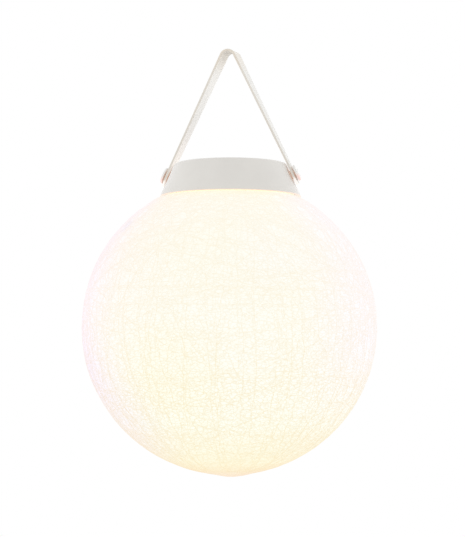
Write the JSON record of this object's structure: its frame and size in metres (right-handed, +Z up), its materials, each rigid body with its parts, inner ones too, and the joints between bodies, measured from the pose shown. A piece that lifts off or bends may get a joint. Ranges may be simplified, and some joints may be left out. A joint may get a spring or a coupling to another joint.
{
  "type": "hanging cotton ball lamp",
  "caption": "Cordless hanging lamp: a lit ball of wound cotton thread under a tapered collar, carried by a triangular strap on two knobs.",
  "frame": {"origin": "the hanging point: where a hook bears, inside the top bend of the strap, on the lamp's axis", "axes": "+Z up along the lamp's axis, +X towards the right knob along the strap's swing axis, +Y towards the power button's side"},
  "size_m": [0.2, 0.2, 0.2904],
  "materials": {
    "strap_plastic": "off-white moulded strap, faint stipple",
    "collar_plastic": "light warm grey moulding, satin",
    "knob_plastic": "light grey moulded thumb knob, satin",
    "button_plastic": "light grey, satin",
    "inner_plastic": "white moulding, satin",
    "steel": "plated steel",
    "adhesive_foam": "white double-sided foam tape",
    "panel_backing": "dark laminate",
    "solar_cell": "dark blue silicon cells",
    "panel_resin": "clear resin cover",
    "wire_red": "insulated lead",
    "board_green": "circuit board lacquer",
    "board_white": "white lacquered light board",
    "part_black": "black component body",
    "seal_rubber": "soft grey seal",
    "battery_jacket": "plain shrink jacket",
    "light_chip": "phosphor of a warm white chip",
    "frosted_dome": "frosted diffuser, lit from inside",
    "cotton_yarn": "glued cotton threads over a glowing inside"
  },
  "bodies": {
    "housing": {"collar": "collar_plastic", "knob_left": "knob_plastic", "knob_right": "knob_plastic", "knob_washers": "steel", "knob_nuts": "steel", "panel_pad": "adhesive_foam", "panel_back": "panel_backing", "solar_cells": "solar_cell", "panel_cover": "panel_resin", "panel_leads": "wire_red", "circuit_board": "board_green", "board_parts": "part_black", "board_screws": "steel", "push_switch": "part_black", "button_ring": "seal_rubber", "base_plate": "inner_plastic", "base_seal": "seal_rubber", "base_screws": "steel", "battery": "battery_jacket", "battery_contact_plus": "steel", "battery_contact_minus": "steel", "battery_door": "inner_plastic", "battery_door_seal": "seal_rubber", "battery_door_screws": "steel", "light_board": "board_white", "light_chips": "light_chip", "light_board_screws": "steel", "light_leads": "wire_red", "light_dome": "frosted_dome"},
    "strap": {"strap": "strap_plastic"},
    "button": {"switch_plunger": "button_plastic", "power_button": "button_plastic"},
    "globe": {"neck_ring": "inner_plastic", "shade": "cotton_yarn"}
  },
  "joints": [
    {"name": "strap_swing", "type": "hinge", "parent": "housing", "child": "strap", "pos_m": [0, 0, -0.0849], "axis": [1, 0, 0], "range_deg": [-25, 25]},
    {"name": "button_press", "type": "slide", "parent": "housing", "child": "button", "axis": [0, 0, -1], "range_m": [0, 0.0012], "stiffness_N_per_m": 600, "springref_m": -0.001},
    {"name": "shade_twist", "type": "hinge", "parent": "housing", "child": "globe", "pos_m": [0, 0, -0.1], "axis": [0, 0, 1], "range_deg": [0, 22]}
  ]
}
